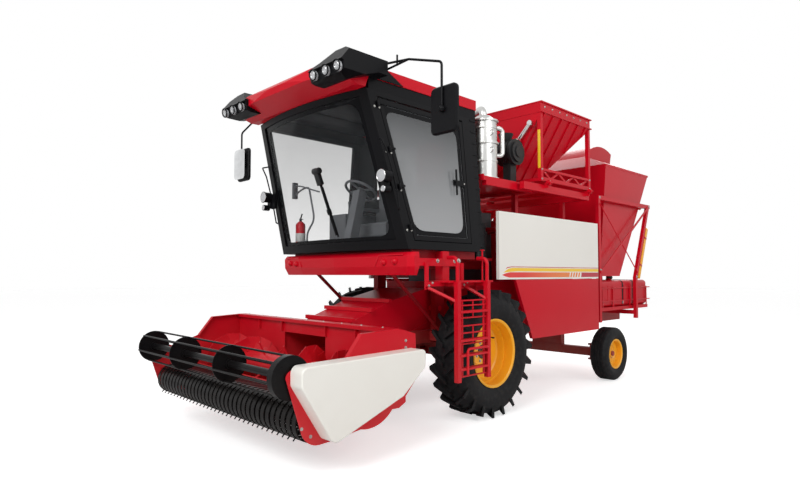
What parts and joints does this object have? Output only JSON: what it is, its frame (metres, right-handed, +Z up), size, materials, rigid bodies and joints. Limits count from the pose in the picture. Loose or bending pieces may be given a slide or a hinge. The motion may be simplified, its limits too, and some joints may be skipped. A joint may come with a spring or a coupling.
{
  "type": "peanut harvester",
  "caption": "Self-propelled peanut harvester with pickup header, glazed cab, thresher, side-tipping pod bin and rear-tipping vine bin",
  "frame": {"origin": "on the ground under the centre of the machine's overall box", "axes": "+Z up, the machine drives toward -Y, its left side is +X"},
  "size_m": [3.726, 7.4158, 3.7],
  "materials": {
    "red_paint": "gloss red paint",
    "cream_paint": "gloss cream paint",
    "yellow_paint": "gloss yellow paint",
    "tyre_rubber": "black rubber",
    "black_paint": "satin black paint",
    "black_plastic": "moulded black plastic",
    "grey_plastic": "grey trim",
    "dark_steel": "dark red chassis paint",
    "cab_glass": "tinted glass",
    "lamp_glass": "clear lamp glass",
    "bare_steel": "bare metal"
  },
  "bodies": {
    "chassis": {"main_frame": "dark_steel", "cab_frame": "dark_steel", "front_axle": "dark_steel", "rear_axle": "dark_steel", "thresher_body": "red_paint", "upper_panels": "cream_paint", "lower_panels": "red_paint", "engine": "dark_steel", "engine_deck": "red_paint", "exhaust_unit": "bare_steel", "air_filter": "black_plastic", "side_tank": "black_plastic", "bin_base": "red_paint", "vine_frame": "red_paint", "fuel_tank": "red_paint", "tank_rack": "red_paint", "bumper": "red_paint", "cab_shell": "black_paint", "cab_glass": "cab_glass", "cab_roof": "red_paint", "lamp_pods": "black_paint", "roof_lamps": "lamp_glass", "cab_interior": "grey_plastic", "ladder": "red_paint", "mirrors": "black_paint", "vine_duct": "red_paint", "pulleys": "dark_steel"},
    "front_wheel_left": {"front_left_rim": "yellow_paint", "front_left_tyre": "tyre_rubber"},
    "front_wheel_right": {"front_right_rim": "yellow_paint", "front_right_tyre": "tyre_rubber"},
    "steer_left": {"knuckle_left": "dark_steel"},
    "steer_right": {"knuckle_right": "dark_steel"},
    "rear_wheel_left": {"rear_left_rim": "yellow_paint", "rear_left_tyre": "tyre_rubber"},
    "rear_wheel_right": {"rear_right_rim": "yellow_paint", "rear_right_tyre": "tyre_rubber"},
    "header": {"header_frame": "red_paint", "header_cover": "cream_paint", "pickup_bands": "black_paint", "feeder_house": "red_paint"},
    "pickup": {"pickup_rotor": "black_paint"},
    "auger": {"auger": "red_paint"},
    "reel": {"reel": "black_paint"},
    "door": {"door_frame": "black_paint", "door_glass": "cab_glass"},
    "pod_bin": {"pod_bin": "red_paint"},
    "pod_barrel": {"pod_barrel": "red_paint"},
    "pod_rod": {"pod_rod": "bare_steel"},
    "vine_bin": {"vine_bin": "red_paint"},
    "vine_lid": {"vine_hood": "red_paint"},
    "vine_barrels": {"vine_barrels": "red_paint"},
    "vine_rods": {"vine_rods": "bare_steel"},
    "lift_barrels": {"lift_barrels": "red_paint"},
    "lift_rods": {"lift_rods": "bare_steel"}
  },
  "joints": [
    {"name": "front_left_spin", "type": "hinge", "parent": "chassis", "child": "front_wheel_left", "pos_m": [1, -0.82, 0.684], "axis": [1, 0, 0], "continuous": true},
    {"name": "front_right_spin", "type": "hinge", "parent": "chassis", "child": "front_wheel_right", "pos_m": [-1, -0.82, 0.684], "axis": [1, 0, 0], "continuous": true},
    {"name": "steer_left_turn", "type": "hinge", "parent": "chassis", "child": "steer_left", "pos_m": [0.76, 2.18, 0.38], "axis": [0, 0, 1], "range_deg": [-32, 32]},
    {"name": "steer_right_turn", "type": "hinge", "parent": "chassis", "child": "steer_right", "pos_m": [-0.76, 2.18, 0.38], "axis": [0, 0, 1], "range_deg": [-32, 32]},
    {"name": "rear_left_spin", "type": "hinge", "parent": "steer_left", "child": "rear_wheel_left", "pos_m": [1.01, 2.18, 0.38], "axis": [1, 0, 0], "continuous": true},
    {"name": "rear_right_spin", "type": "hinge", "parent": "steer_right", "child": "rear_wheel_right", "pos_m": [-1.01, 2.18, 0.38], "axis": [1, 0, 0], "continuous": true},
    {"name": "header_lift", "type": "hinge", "parent": "chassis", "child": "header", "pos_m": [0, -1.01, 1.15], "axis": [-1, 0, 0], "range_deg": [-4, 12]},
    {"name": "pickup_spin", "type": "hinge", "parent": "header", "child": "pickup", "pos_m": [0, -3.32, 0.42], "axis": [-1, 0, 0], "continuous": true},
    {"name": "auger_spin", "type": "hinge", "parent": "header", "child": "auger", "pos_m": [0, -2.78, 0.63], "axis": [-1, 0, 0], "continuous": true},
    {"name": "reel_spin", "type": "hinge", "parent": "header", "child": "reel", "pos_m": [0, -3.52, 0.78], "axis": [-1, 0, 0], "continuous": true},
    {"name": "door_swing", "type": "hinge", "parent": "chassis", "child": "door", "pos_m": [1.02933, -2.17724, 2.5], "axis": [0.0914, 0.2675, -0.9592], "range_deg": [0, 65]},
    {"name": "pod_tip", "type": "hinge", "parent": "chassis", "child": "pod_bin", "pos_m": [1.15, 0.875, 2.672], "axis": [0, 1, 0], "range_deg": [0, 95]},
    {"name": "pod_barrel_swing", "type": "hinge", "parent": "chassis", "child": "pod_barrel", "pos_m": [0.3, 0.186, 2.7], "axis": [0, 1, 0], "range_deg": [-0.89, 45.26]},
    {"name": "pod_rod_slide", "type": "slide", "parent": "pod_barrel", "child": "pod_rod", "axis": [0.6816, 0, 0.7317], "range_m": [-0.01258, 0.63661]},
    {"name": "vine_tip", "type": "hinge", "parent": "chassis", "child": "vine_bin", "pos_m": [0, 3.51, 2.64], "axis": [-1, 0, 0], "range_deg": [0, 65]},
    {"name": "vine_lid_swing", "type": "hinge", "parent": "vine_bin", "child": "vine_lid", "pos_m": [0, 2.164, 3.202], "axis": [1, 0, 0], "range_deg": [0, 60]},
    {"name": "vine_barrel_swing", "type": "hinge", "parent": "chassis", "child": "vine_barrels", "pos_m": [0, 3.26, 1], "axis": [-1, 0, 0], "range_deg": [-3.65, 0.08]},
    {"name": "vine_rod_slide", "type": "slide", "parent": "vine_barrels", "child": "vine_rods", "axis": [0, -0.0891, 0.996], "range_m": [-0.01168, 0.59054]},
    {"name": "lift_barrel_swing", "type": "hinge", "parent": "chassis", "child": "lift_barrels", "pos_m": [0, -0.96, 0.64], "axis": [-1, 0, 0], "range_deg": [-4.2, 12.11]},
    {"name": "lift_rod_slide", "type": "slide", "parent": "lift_barrels", "child": "lift_rods", "axis": [0, -0.984, -0.178], "range_m": [-0.03794, 0.10935]}
  ],
  "couplings": [
    {"joint": "pod_barrel_swing", "follows": "pod_tip", "ratio": 0.46705},
    {"joint": "pod_rod_slide", "follows": "pod_tip", "m_per_rad": 0.37636},
    {"joint": "vine_barrel_swing", "follows": "vine_tip", "ratio": -0.054918},
    {"joint": "vine_rod_slide", "follows": "vine_tip", "m_per_rad": 0.51025},
    {"joint": "lift_barrel_swing", "follows": "header_lift", "ratio": 0.98867},
    {"joint": "lift_rod_slide", "follows": "header_lift", "m_per_rad": 0.51138}
  ]
}
